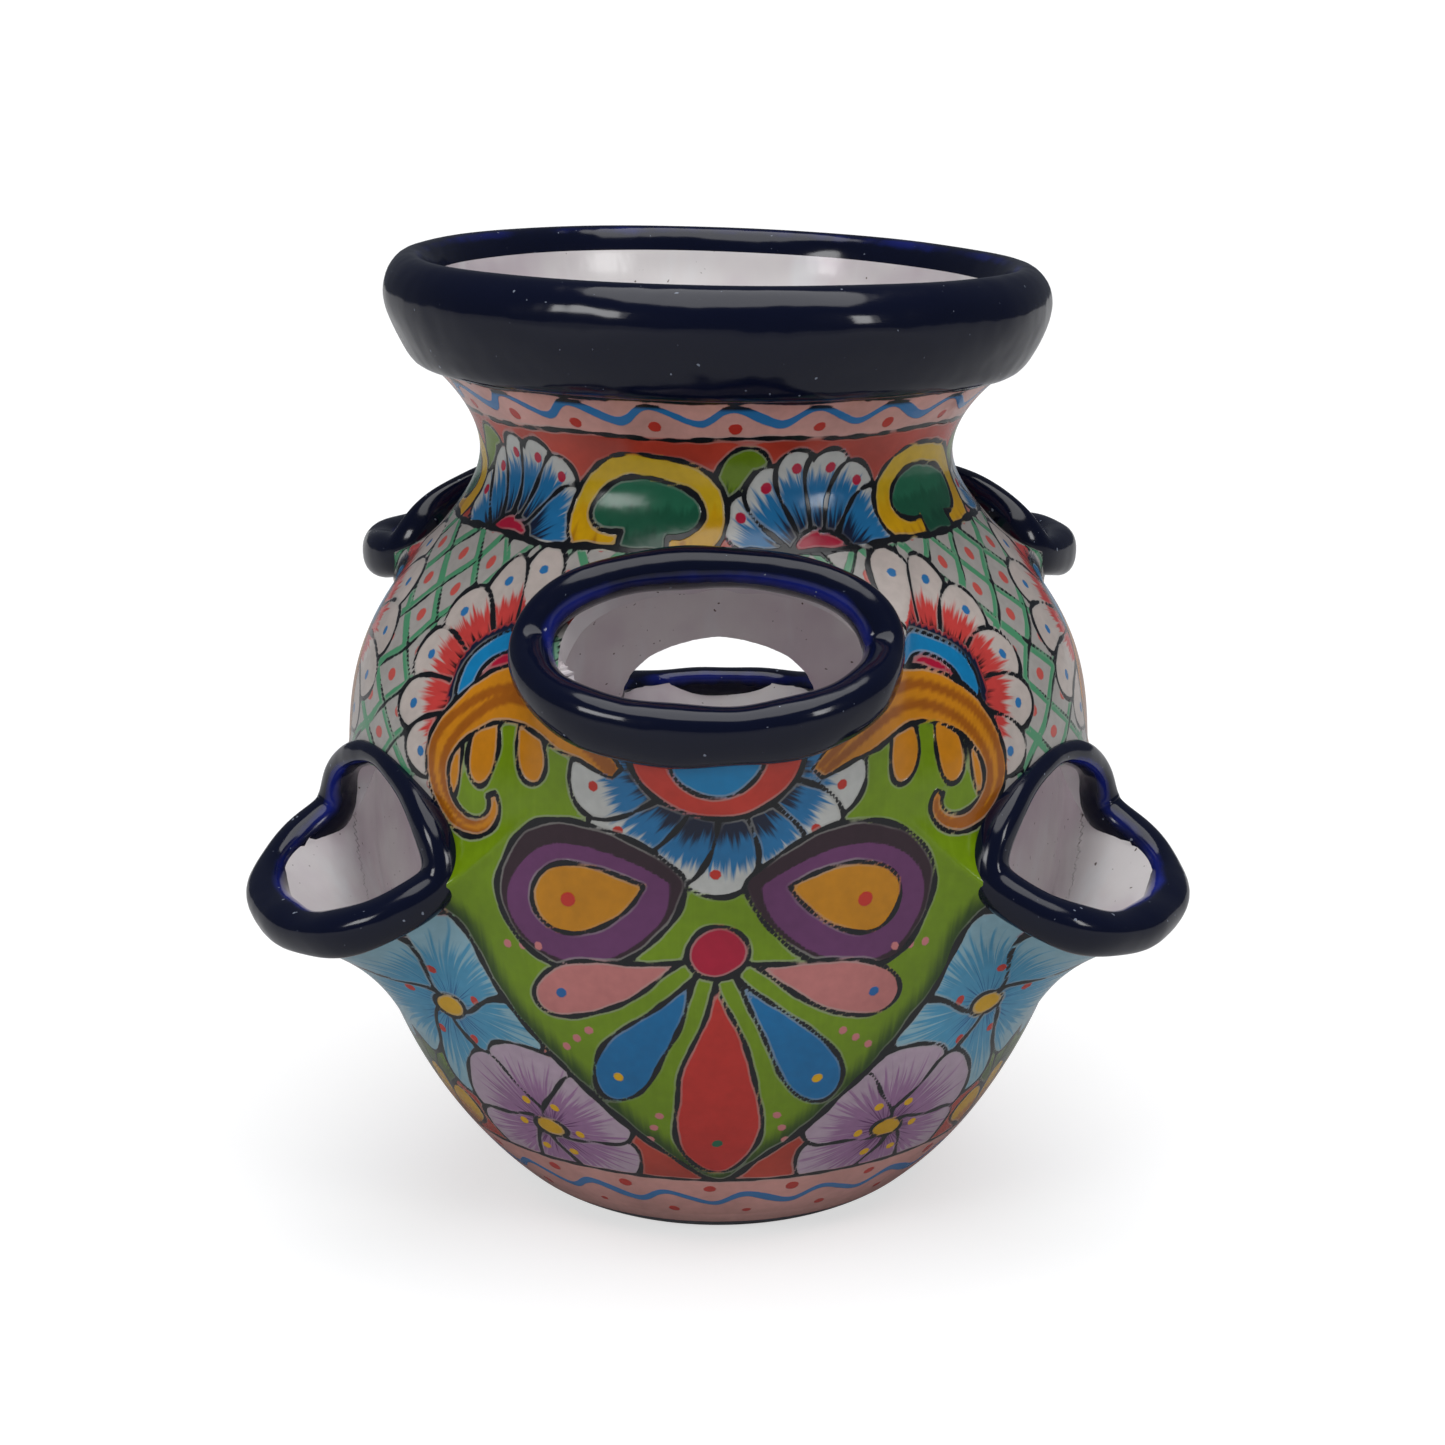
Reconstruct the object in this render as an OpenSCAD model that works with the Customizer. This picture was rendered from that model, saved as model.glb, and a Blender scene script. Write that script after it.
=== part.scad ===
// Six-pocket planter pot in glazed earthenware, hand built from separate clay members.
// The foot stands on z = 0, the pot's axis is Z, and the front pocket faces -Y.

/* [Wall] */
// Radius of the flat foot
foot_r = 57.5; // [50:0.5:62]
// Greatest radius of the belly
belly_r = 111.5; // [108:0.5:114]
// Height of the greatest radius
belly_z = 120; // [116:1:124]
// Radius at the narrowest part of the neck
neck_r = 69; // [64:0.5:74]
// Height of the narrowest part of the neck
neck_z = 225; // [221:1:229]
// Thickness of the thrown wall
wall_t = 7; // [5.5:0.5:8]

/* [Foot] */
// Thickness of the base slab
floor_t = 10; // [8:0.5:12]
// Radius of the drain hole
drain_r = 8; // [5:0.5:11]

/* [Rim] */
// Height of the crest of the rim, which is the pot's height
rim_top = 280; // [276:1:286]
// Height where the rim roll sits on the neck
rim_z = 250; // [248:1:253]
// Greatest radius of the rim roll
rim_r = 95.5; // [93:0.5:99]
// Width of the rim roll
rim_w = 13.5; // [12:0.5:16]

/* [Upper pockets] */
// Azimuth between the front pocket and each of the other two
upper_spread = 134; // [128:1:136]
// Half width of the mouth, to the middle of the lip coil
upper_half_w = 44; // [42:0.5:46]
// Radius at which the two ends of the mouth meet the wall
upper_end_r = 90; // [88:0.5:92]
// Height at which the two ends of the mouth meet the wall
upper_end_z = 184; // [182:1:186]
// Radius of the front of the mouth
upper_front_r = 127.5; // [124:0.5:131]
// Height of the front of the mouth
upper_front_z = 172; // [170:1:174]
// Radius of the front of the other two mouths, which are nearly level
upper_side_front_r = 127.5; // [124:0.5:131]
// Height of the front of the other two mouths
upper_side_front_z = 182; // [178:1:182]
// Radius of the top of the mouth
upper_top_r = 86.5; // [85:0.5:88]
// Height of the top of the mouth
upper_top_z = 205; // [203:1:207]

/* [Lower pockets] */
// Azimuth between the front and each of the two lower side pockets
lower_spread = 60; // [58:1:62]
// Half width of the mouth, to the middle of the lip coil
lower_half_w = 38; // [35:0.5:39]
// Radius at which the two ends of the mouth meet the wall
lower_end_r = 107; // [105:0.5:109]
// Height at which the two ends of the mouth meet the wall
lower_end_z = 118; // [116:1:120]
// Radius of the front of the mouth
lower_front_r = 141; // [137:0.5:145]
// Height of the front of the mouth
lower_front_z = 101; // [99:1:108]
// Radius of the front of the rear mouth, which is nearly level
lower_rear_front_r = 139; // [136:0.5:142]
// Height of the front of the rear mouth
lower_rear_front_z = 115; // [106:1:116]
// Radius of the top of the mouth
lower_top_r = 113; // [112:0.5:114]
// Height of the top of the mouth
lower_top_z = 144; // [142:1:145]

/* [Pockets] */
// Thickness of the pouch wall
pouch_t = 6; // [5:0.5:7]
// Radius of the lip coil
lip_r = 5.5; // [4.5:0.25:6]
// Extra height of the lip coil above the pouch's edge
lip_rise = 2; // [1:0.25:3]

/* [Hidden] */
$fn = 96;
bowl_top = 64;
belly_top = 141;
shoulder_top = 207;
body_drop = 140;
clay = "peru";
glaze = "midnightblue";

// A pocket is [azimuth, half width, end r, end z, front r, front z, top r, top z, cone angle, depth]
upper_cone = 11;
upper_side_cone = 27;
lower_cone = 30;
upper_depth = 36;
lower_depth = 38;
function upper_pocket(az, r, z, cone) = [az, upper_half_w, upper_end_r, upper_end_z, r, z,
    upper_top_r, upper_top_z, cone, upper_depth];
function lower_pocket(az, r, z) = [az, lower_half_w, lower_end_r, lower_end_z, r, z,
    lower_top_r, lower_top_z, lower_cone, lower_depth];
uppers = [upper_pocket(0, upper_front_r, upper_front_z, upper_cone),
    upper_pocket(upper_spread, upper_side_front_r, upper_side_front_z, upper_side_cone),
    upper_pocket(-upper_spread, upper_side_front_r, upper_side_front_z, upper_side_cone)];
lowers = [lower_pocket(lower_spread, lower_front_r, lower_front_z),
    lower_pocket(180, lower_rear_front_r, lower_rear_front_z),
    lower_pocket(-lower_spread, lower_front_r, lower_front_z)];

// Radius of the circle that passes both ends of a chord of half width a with rise s
function arc_r(a, s) = (a * a + s * s) / (2 * s);
function clay_tilt(p) = atan2(p[3] - p[5], p[4] - p[2]);
function front_rise(p) = norm([p[4] - p[2], p[3] - p[5]]);
function mouth_r(p) = arc_r(p[1], front_rise(p));
function mouth_half_angle(p) = asin(min(1, p[1] / mouth_r(p)));
function top_lean(p) = atan2(p[6] - p[2], p[7] - p[3]);
function top_rise(p) = norm([p[6] - p[2], p[7] - p[3]]);
function arch_r(p) = arc_r(p[1], top_rise(p));
function arch_half_angle(p) = asin(min(1, p[1] / arch_r(p)));

// Outside of the wall: an ellipse below the belly, an eased shoulder and a flared neck above it
function bowl_r(z) = belly_r * sqrt(1 - pow((belly_z - z) / body_drop, 2));
function foot_round(z) = max(0, 1 - z / 6);
function shoulder_ease(z) = pow((z - belly_z) / (neck_z - belly_z), 1.8);
function shoulder_r(z) = neck_r + (belly_r - neck_r) * (1 + cos(180 * shoulder_ease(z))) / 2;
function flare_r(z) = neck_r + 12.6 * pow((z - neck_z) / 27, 1.7);
function wall_r(z) = z < belly_z ? bowl_r(z) - 2 * pow(foot_round(z), 2)
    : (z < neck_z ? shoulder_r(z) : flare_r(z));

function steps(z0, z1) = ceil((z1 - z0) / 6);
function outside(z0, z1) = [for (i = [0:steps(z0, z1)])
    let(z = z0 + (z1 - z0) * i / steps(z0, z1)) [wall_r(z), z]];
function inside(z0, z1) = [for (i = [steps(z0, z1):-1:0])
    let(z = z0 + (z1 - z0) * i / steps(z0, z1)) [wall_r(z) - wall_t, z]];

// One ring of the wall, between two level seams
module band(z0, z1) {
    rotate_extrude()
        polygon(concat(outside(z0, z1), inside(z0, z1)));
}

// Everything inside the wall's outer face, which trims the pouches and lips to the wall.
// It is made of the same rings as the wall, so trimmed pieces meet the wall face to face.
module inside_wall(z0, z1) {
    rotate_extrude()
        polygon(concat([[0, z0]], outside_rings(z0, z1), [[0, z1]]));
}

function outside_rings(z0, z1) = concat(
    z0 < bowl_top ? outside(floor_t, bowl_top) : [],
    outside(bowl_top, belly_top),
    outside(belly_top, shoulder_top),
    z1 > shoulder_top ? outside(shoulder_top, rim_z) : []);

// Carries a piece drawn along +X round to a pocket's azimuth
module at_azimuth(p) {
    rotate([0, 0, p[0] - 90])
        children();
}

// Puts the origin at the middle of the front arc of the mouth, with Z square to its plane
module on_mouth(p) {
    translate([p[4] - mouth_r(p) * cos(clay_tilt(p)), 0, p[5] + mouth_r(p) * sin(clay_tilt(p))])
        rotate([0, clay_tilt(p), 0])
            children();
}

// A cone that narrows down from the mouth
module pouch_cone(p, r, h) {
    on_mouth(p)
        translate([0, 0, -h])
            cylinder(r1 = r - h * tan(p[8]), r2 = r, h = h);
}

// The arch over the mouth, where the wall above the pouch is cut away
module arch_cut(p) {
    intersection() {
        translate([p[2], 0, p[3]])
            rotate([0, top_lean(p), 0])
                translate([-30, 0, top_rise(p) - arch_r(p)])
                    rotate([0, 90, 0])
                        cylinder(r = arch_r(p) - lip_r, h = 60);
        on_mouth(p)
            translate([-50, -80, -0.01])
                cube([210, 160, 90]);
    }
}

// The way in, from the mouth through the wall
module way_in(p) {
    at_azimuth(p) {
        pouch_cone(p, mouth_r(p) - pouch_t / 2, p[9]);
        arch_cut(p);
    }
}

// One pouch, formed outside the wall and open into the pot
module pouch(p) {
    difference() {
        at_azimuth(p)
            pouch_cone(p, mouth_r(p) + pouch_t / 2, p[9] + 12);
        inside_wall(0, rim_z);
        way_in(p);
    }
}

// The front half of a lip, a coil laid along the edge of the pouch
module lip_front(p) {
    on_mouth(p)
        translate([0, 0, lip_rise])
            rotate([0, 0, -mouth_half_angle(p)])
                rotate_extrude(angle = 2 * mouth_half_angle(p))
                    translate([mouth_r(p), 0])
                        circle(r = lip_r, $fn = 24);
}

// The back half of a lip, a coil laid on the wall along the edge of the arch
module lip_back(p) {
    translate([p[2], 0, p[3]])
        rotate([0, top_lean(p), 0])
            translate([0, 0, top_rise(p) - arch_r(p)])
                rotate([90, 0, 90])
                    rotate([0, 0, 90 - arch_half_angle(p)])
                        rotate_extrude(angle = 2 * arch_half_angle(p))
                            translate([arch_r(p), 0])
                                circle(r = lip_r, $fn = 24);
}

// The pressed clay where the two halves of a lip meet on the wall
module lip_corner(p, side) {
    translate([p[2] + lip_rise / 3, side * (p[1] - 0.5), p[3] + lip_rise / 2])
        sphere(r = lip_r + 1, $fn = 48);
}

module below_mouth(p) {
    on_mouth(p)
        translate([-40, -80, -60])
            cube([140, 160, 60]);
}

// A whole lip, flat where it sits on the pouch's edge and trimmed to the wall
module lip(p) {
    difference() {
        at_azimuth(p) {
            difference() {
                union() {
                    lip_front(p);
                    lip_back(p);
                    lip_corner(p, 1);
                    lip_corner(p, -1);
                }
                below_mouth(p);
            }
        }
        inside_wall(bowl_top, rim_z);
    }
}

module floor_disc() {
    color(clay)
        difference() {
            rotate_extrude()
                polygon(concat([[0, 0], [foot_r - 2, 0]],
                    [for (z = [2:2:floor_t]) [wall_r(z), z]], [[0, floor_t]]));
            translate([0, 0, -1])
                cylinder(r = drain_r, h = floor_t + 2);
        }
}

module bowl_wall() {
    color(clay)
        band(floor_t, bowl_top);
}

module belly_wall() {
    color(clay)
        difference() {
            band(bowl_top, belly_top);
            for (p = lowers) way_in(p);
        }
}

module shoulder_wall() {
    color(clay)
        difference() {
            band(belly_top, shoulder_top);
            for (p = uppers) way_in(p);
        }
}

module neck_wall() {
    color(clay)
        band(shoulder_top, rim_z);
}

// The rim is one thick roll: its outside slopes out from the neck and its crest is rounded
rim_foot = wall_r(rim_z) + 1.5;
rim_belly = rim_z + 17;
rim_mid = rim_r - rim_w / 2;
function rim_side(s) = [rim_foot + (rim_r - rim_foot) * (1 - pow(1 - s, 1.7)), rim_z + 17 * s];
function rim_crest(t) = [rim_mid + rim_w / 2 * cos(t), rim_belly + (rim_top - rim_belly) * sin(t)];

module rim_roll() {
    color(glaze)
        rotate_extrude()
            polygon(concat(
                [[wall_r(rim_z) - wall_t, rim_z]],
                [for (s = [0:0.125:0.875]) rim_side(s)],
                [for (t = [0:15:180]) rim_crest(t)]));
}

module upper_pouch_front() { color(clay) pouch(uppers[0]); }
module upper_pouch_right() { color(clay) pouch(uppers[1]); }
module upper_pouch_left() { color(clay) pouch(uppers[2]); }
module lower_pouch_right() { color(clay) pouch(lowers[0]); }
module lower_pouch_rear() { color(clay) pouch(lowers[1]); }
module lower_pouch_left() { color(clay) pouch(lowers[2]); }
module upper_lip_front() { color(glaze) lip(uppers[0]); }
module upper_lip_right() { color(glaze) lip(uppers[1]); }
module upper_lip_left() { color(glaze) lip(uppers[2]); }
module lower_lip_right() { color(glaze) lip(lowers[0]); }
module lower_lip_rear() { color(glaze) lip(lowers[1]); }
module lower_lip_left() { color(glaze) lip(lowers[2]); }

floor_disc();
bowl_wall();
belly_wall();
shoulder_wall();
neck_wall();
rim_roll();
upper_pouch_front();
upper_pouch_right();
upper_pouch_left();
lower_pouch_right();
lower_pouch_rear();
lower_pouch_left();
upper_lip_front();
upper_lip_right();
upper_lip_left();
lower_lip_right();
lower_lip_rear();
lower_lip_left();
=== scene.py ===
import math

import bpy
import numpy as np
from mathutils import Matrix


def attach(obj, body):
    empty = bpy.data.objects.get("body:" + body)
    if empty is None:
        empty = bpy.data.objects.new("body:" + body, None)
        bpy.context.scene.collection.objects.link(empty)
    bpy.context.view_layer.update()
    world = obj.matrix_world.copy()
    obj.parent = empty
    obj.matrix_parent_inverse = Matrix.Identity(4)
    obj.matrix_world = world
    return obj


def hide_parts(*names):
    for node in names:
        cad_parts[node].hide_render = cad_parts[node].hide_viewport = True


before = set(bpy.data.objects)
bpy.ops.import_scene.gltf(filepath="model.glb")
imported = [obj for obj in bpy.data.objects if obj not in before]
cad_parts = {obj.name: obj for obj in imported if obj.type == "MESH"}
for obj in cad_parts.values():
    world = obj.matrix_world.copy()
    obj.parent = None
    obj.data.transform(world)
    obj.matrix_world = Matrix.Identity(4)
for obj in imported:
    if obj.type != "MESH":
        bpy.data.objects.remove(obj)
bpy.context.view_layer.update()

# ---------------------------------------------------------------- outer face of the wall
# The pot's wall is earthenware built up in rings, with six pouches pushed out of it and luted on.
# Each ring and each pouch is a shell of its own, and all of them share one continuous outer face.

MM = 0.001
BASE_TOP = 10.0
RIM_SEAT = 250.0


def unselect():
    """Leaves nothing selected and no piece being edited."""
    if bpy.context.object and bpy.context.object.mode != "OBJECT":
        bpy.ops.object.mode_set(mode="OBJECT")
    bpy.ops.object.select_all(action="DESELECT")


def ease(low, high, value):
    """0 below low, 1 above high, and a soft step between them."""
    s = np.clip((value - low) / (high - low), 0.0, 1.0)
    return s * s * (3.0 - 2.0 * s)


def wall_radius(z):
    """Outside of the wall at a height: bowl, shoulder and flared neck."""
    bowl = 111.5 * np.sqrt(np.clip(1 - ((120 - z) / 140) ** 2, 0.01, 1)) - 2 * np.maximum(0, 1 - z / 6) ** 2
    shoulder = 69 + 42.5 * (1 + np.cos(math.pi * np.clip((z - 120) / 105, 0, 1) ** 1.8)) / 2
    flare = 69 + 17.5 * (np.clip(z - 225, 0, None) / 27) ** 1.9
    return np.where(z < 120, bowl, np.where(z < 225, shoulder, flare))


class Pocket:
    """One pocket's mouth and pouch, in a frame whose X points out of the pot."""

    def __init__(self, name, turn, half, end, front, top, cone):
        self.name, self.turn, self.half = name, math.radians(turn), half
        self.upper = half > 40
        self.fullness = 0.9 if self.upper else 0.82
        self.point = 0.9 if self.upper else 1.35
        self.end, self.front, self.top = end, front, top
        self.cone = math.radians(cone)
        self.tilt = math.atan2(end[1] - front[1], front[0] - end[0])
        rise = math.hypot(front[0] - end[0], end[1] - front[1])
        self.bend = (half * half + rise * rise) / (2 * rise)
        self.out = np.array([math.cos(self.tilt), 0.0, -math.sin(self.tilt)])
        self.up = np.array([math.sin(self.tilt), 0.0, math.cos(self.tilt)])
        self.middle = np.array([front[0], 0.0, front[1]]) - self.bend * self.out
        self.lean = math.atan2(top[0] - end[0], top[1] - end[1])
        self.arch_rise = math.hypot(top[0] - end[0], top[1] - end[1])

    def to_pocket(self, p):
        """Points of the pot in the pocket's frame: out of the pot, across it and up."""
        s, c = math.sin(self.turn), math.cos(self.turn)
        return np.stack([p[..., 0] * s - p[..., 1] * c, p[..., 0] * c + p[..., 1] * s, p[..., 2]], -1)

    def to_pot(self, q):
        """The way back from the pocket's frame."""
        s, c = math.sin(self.turn), math.cos(self.turn)
        return np.stack([q[..., 0] * s + q[..., 1] * c, -q[..., 0] * c + q[..., 1] * s, q[..., 2]], -1)

    def height_over_mouth(self, q):
        """Height over the sloping plane of the mouth, less than 0 below it."""
        return (q - self.middle) @ self.up

    def pouch_distance(self, q):
        """Distance to the outside of the pouch, which stops a little over the mouth."""
        v = q - self.middle
        h = v @ self.up
        w = np.linalg.norm(v - h[..., None] * self.up, axis=-1)
        side = (w - (self.bend + 3.0) - h * math.tan(self.cone)) * math.cos(self.cone)
        return np.maximum(side, h - 1.0)

    def in_arch(self, q, spare):
        """True inside the curve that the lip follows, less a margin that stays under its coil."""
        rise = (q[..., 2] - self.end[1]) / math.cos(self.lean) / (self.arch_rise - spare)
        y_part = (abs(q[..., 1]) / (self.half * 1.03 - spare)) ** (2 / self.point)
        return y_part + np.clip(rise, 0, None) ** (2 / self.fullness) < 1


# Name, turn in degrees, half width, (radius, height) of the corners, of the front and of the arch's top,
# and the half angle of the pouch's cone in degrees.
POCKETS = [
    Pocket("upper_pouch_front", 0, 44, (90, 184), (127.5, 172), (86.5, 205), 11),
    Pocket("upper_pouch_right", 134, 44, (90, 184), (127.5, 182), (86.5, 205), 27),
    Pocket("upper_pouch_left", -134, 44, (90, 184), (127.5, 182), (86.5, 205), 27),
    Pocket("lower_pouch_right", 60, 38, (107, 118), (141, 101), (113, 144), 30),
    Pocket("lower_pouch_rear", 180, 38, (107, 118), (139, 115), (113, 144), 30),
    Pocket("lower_pouch_left", -60, 38, (107, 118), (141, 101), (113, 144), 30),
]
BANDS = [("bowl_wall", BASE_TOP, 64), ("belly_wall", 64, 141), ("shoulder_wall", 141, 207),
         ("neck_wall", 207, RIM_SEAT)]


def clay_distance(p):
    """Distance from a point to the pot's outer face, with the pouches melted into the wall."""
    rho, z = np.hypot(p[..., 0], p[..., 1]), p[..., 2]
    slope = wall_radius(z + 0.5) - wall_radius(z - 0.5)
    d = (rho - wall_radius(z)) / np.sqrt(1 + slope * slope)
    for pocket in POCKETS:
        e = pocket.pouch_distance(pocket.to_pocket(p))
        h = np.clip(0.5 + (e - d) / 32.0, 0, 1)
        d = e * (1 - h) + d * h - 16.0 * h * (1 - h)
    return d


def spot(turn, rho, z):
    """Point at an azimuth in degrees, a radius and a height."""
    a = np.radians(turn)
    return np.stack([rho * np.sin(a), -rho * np.cos(a), z + 0 * rho], -1)


def outer_radius(turn, z):
    """Radius of the outer face at an azimuth and a height, found by halving."""
    near, far = np.full(turn.shape, 40.0), np.full(turn.shape, 178.0)
    for _ in range(20):
        half = (near + far) / 2
        inside = clay_distance(spot(turn, half, z)) < 0
        near, far = np.where(inside, half, near), np.where(inside, far, half)
    return (near + far) / 2


def by_hand(p):
    """The unevenness of hand building: soft dents all over, and a rim higher on the left."""
    a = np.arctan2(p[..., 0], -p[..., 1])
    z = p[..., 2]
    dent = 0.5 * np.sin(2 * a + 1.3 + z / 90) + 0.35 * np.sin(3 * a - z / 37) + 0.22 * np.sin(7 * a + z / 19)
    rho = np.maximum(np.hypot(p[..., 0], p[..., 1]), 1e-6)
    rise = ease(200, 275, z)
    k = 1 + dent * ease(4, 30, z) / rho
    x, y = p[..., 0] * k, p[..., 1] * k
    return np.stack([x, y, z - 0.026 * x * rise + 0.5 * np.sin(2 * a + 0.6) * rise], -1)


def keep(piece, name, values, kind="FLOAT", domain="POINT"):
    """Keeps a value for every corner or face of a piece under a name."""
    layer = piece.data.attributes.get(name) or piece.data.attributes.new(name, kind, domain)
    field = {"FLOAT": "value", "INT": "value", "FLOAT_VECTOR": "vector"}[kind]
    values = np.ascontiguousarray(values, dtype=np.int32 if kind == "INT" else np.float32)
    layer.data.foreach_set(field, values.ravel())


def kept(piece, name, width=1):
    """Reads kept values back."""
    layer = piece.data.attributes[name]
    values = np.empty(len(layer.data) * width, dtype=np.float32)
    layer.data.foreach_get("vector" if width == 3 else "value", values)
    return values.reshape(-1, width).astype(float) if width > 1 else values.astype(float)


COLUMNS, ROWS = 720, 240
unselect()
bpy.ops.mesh.primitive_grid_add(x_subdivisions=COLUMNS, y_subdivisions=ROWS, size=1)
skin = bpy.context.object
skin.name = "skin"
flat = np.empty(len(skin.data.vertices) * 3)
skin.data.vertices.foreach_get("co", flat)
flat = flat.reshape(-1, 3)
turn = flat[:, 0] * 360
high = BASE_TOP + (flat[:, 1] + 0.5) * (RIM_SEAT - BASE_TOP)
clay = spot(turn, outer_radius(turn, high), high)
net = clay.reshape(ROWS + 1, COLUMNS + 1, 3)
keep(skin, "turn", turn)
keep(skin, "high", high)
keep(skin, "clay", clay, "FLOAT_VECTOR")
keep(skin, "mm_per_degree", np.linalg.norm(np.gradient(net, axis=1), axis=-1) * COLUMNS / 360)
keep(skin, "mm_per_height", np.linalg.norm(np.gradient(net, axis=0), axis=-1))
skin.data.vertices.foreach_set("co", (by_hand(clay) * MM).ravel())
skin.data.update()

# The sheet's two edges meet at the back, and the faces that would close the mouths are cut away.
bpy.context.tool_settings.mesh_select_mode = (False, False, True)
bpy.ops.object.mode_set(mode="EDIT")
bpy.ops.mesh.select_all(action="SELECT")
bpy.ops.mesh.remove_doubles(threshold=1e-6)
unselect()
corners = np.empty(len(skin.data.loops), dtype=np.int32)
skin.data.loops.foreach_get("vertex_index", corners)
clay = kept(skin, "clay", 3)
middles = clay[corners.reshape(-1, 4)].mean(1)
owner = np.digitize(middles[:, 2], [z for _, _, z in BANDS[:-1]])
rho = np.hypot(middles[:, 0], middles[:, 1])
wall_gap = rho - wall_radius(middles[:, 2])
for number, pocket in enumerate(POCKETS):
    q = pocket.to_pocket(middles)
    over = pocket.height_over_mouth(q)
    ahead = q[:, 0] > 0
    owner[ahead & (over < 0) & (pocket.pouch_distance(q) < wall_gap)] = len(BANDS) + number
    owner[ahead & (over > -0.5) & pocket.in_arch(q, 3.5 if pocket.upper else 2.4)] = -1
keep(skin, "owner", owner, "INT", "FACE")


# ---------------------------------------------------------------- the painting
# Every motif is flooded with coloured glaze inside a black ruled line, by hand, over a white ground.
# The wall keeps, at each corner, the colours of its glaze and the distance to the nearest black line.

turn, high = kept(skin, "turn"), kept(skin, "high")
wide = np.clip(kept(skin, "mm_per_degree"), 0.9, 3.2)
tall = np.clip(kept(skin, "mm_per_height"), 1.0, 2.2)
COUNT = len(turn)
FAR = 9.0


def linear(code):
    """An sRGB hex colour as linear values."""
    channels = [int(code[i : i + 2], 16) / 255 for i in (1, 3, 5)]
    return np.array([c / 12.92 if c < 0.04045 else ((c + 0.055) / 1.055) ** 2.4 for c in channels])


WHITE, BLACK = linear("#b9b4af"), linear("#15171b")
CORAL, PINK = linear("#b8402f"), linear("#dca59c")
LIME, LIME_DARK, LIME_PALE = linear("#74940a"), linear("#2f4a10"), linear("#8aa824")
NAVY, BLUE, SKY = linear("#1b2644"), linear("#1f5f9c"), linear("#1380b8")
CRIMSON, RED, SALMON = linear("#b01638"), linear("#bb3126"), linear("#c0524a")
YELLOW, OCHRE, GREEN = linear("#dca806"), linear("#b0740c"), linear("#1f6046")
ORANGE, RUST = linear("#c67c14"), linear("#8a4014")

root_glaze, middle_glaze, tip_glaze = (np.tile(WHITE, (COUNT, 1)) for _ in range(3))
drop_glaze = np.tile(SALMON, (COUNT, 1))
ink_gap, drop_gap = np.full(COUNT, FAR), np.full(COUNT, FAR)
brush = np.zeros((COUNT, 3))
unsteady = 1 + 0.22 * np.sin(turn * 0.9 + high * 0.31) + 0.18 * np.sin(high * 0.53 - turn * 0.37)


def smooth_line(points, closed=True, steps=7):
    """A smooth line through a few given points."""
    p = np.asarray(points, float)
    if closed:
        a, b, c, d = (np.roll(p, k, 0) for k in (1, 0, -1, -2))
    else:
        q = np.vstack([2 * p[0] - p[1], p, 2 * p[-1] - p[-2]])
        a, b, c, d = q[:-3], q[1:-2], q[2:-1], q[3:]
    t = (np.arange(steps) / steps)[None, :, None]
    a, b, c, d = (v[:, None] for v in (a, b, c, d))
    line = b + 0.5 * t * (c - a + t * (2 * a - 5 * b + 4 * c - d + t * (3 * (b - c) + d - a)))
    line = line.reshape(-1, 2)
    return line if closed else np.vstack([line, p[-1]])


class Canvas:
    """One repeat of the painting: degrees from its middle across, height up."""

    def __init__(self, across, mm_per_degree):
        self.u = across + 0.3 * np.sin(high * 0.21 + across * 0.13)
        self.v = high + 0.4 * np.sin(across * 0.31 + high * 0.05)
        self.wide = mm_per_degree

    def gap(self, points, closed=True, smooth=True):
        """Distance in mm to a line, less than 0 inside it where it is closed."""
        line = smooth_line(points, closed) if smooth else np.asarray(points, float)
        gap = np.full(COUNT, FAR)
        low, top = line.min(0), line.max(0)
        near = (self.u > low[0] - 6) & (self.u < top[0] + 6) & (self.v > low[1] - 7) & (self.v < top[1] + 7)
        near = np.flatnonzero(near)
        if not len(near):
            return gap
        ends = np.roll(line, -1, 0) if closed else line[1:]
        starts = line if closed else line[:-1]
        scale = np.stack([self.wide[near], tall[near]], -1)[:, None]
        here = np.stack([self.u[near], self.v[near]], -1)[:, None]
        a, b = (starts[None] - here) * scale, (ends[None] - here) * scale
        ab = b - a
        s = np.clip(-(a * ab).sum(-1) / np.maximum((ab * ab).sum(-1), 1e-9), 0, 1)
        distance = np.linalg.norm(a + s[..., None] * ab, axis=-1).min(1)
        if closed:
            up, down = (a[..., 1] <= 0) & (b[..., 1] > 0), (a[..., 1] > 0) & (b[..., 1] <= 0)
            side = ab[..., 0] * -a[..., 1] - -a[..., 0] * ab[..., 1]
            winding = (up & (side > 0)).sum(1) - (down & (side < 0)).sum(1)
            distance = np.where(winding != 0, -distance, distance)
        gap[near] = distance
        return gap

    def round(self, u, v, radius, stretch=1.0):
        """Distance to a round dot's edge."""
        return np.hypot((self.u - u) * self.wide / stretch, (self.v - v) * tall) - radius

    def around(self, u, v, stretch=1.0):
        """Angle and distance in mm about a point, for brush strokes that fan out of it."""
        x, y = (self.u - u) * self.wide / stretch, (self.v - v) * tall
        return np.arctan2(x, y), np.hypot(x, y)


def flood(gap, glazes, line=1.3, strokes=None):
    """Fills a shape with glaze, root to tip of the brush stroke, and rules its edge in black."""
    inside = gap < 0
    glazes = glazes if isinstance(glazes, tuple) else (glazes,) * 3
    for layer, glaze in zip((root_glaze, middle_glaze, tip_glaze), glazes):
        layer[inside] = glaze[inside] if glaze.ndim > 1 else glaze
    brush[inside] = strokes[inside] if strokes is not None else (0, 0.5, 0)
    drop_gap[inside] = FAR
    edge = abs(gap) - line * unsteady / 2 if line else np.full(COUNT, FAR)
    ink_gap[:] = np.where(inside, edge, np.minimum(ink_gap, edge))


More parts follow.
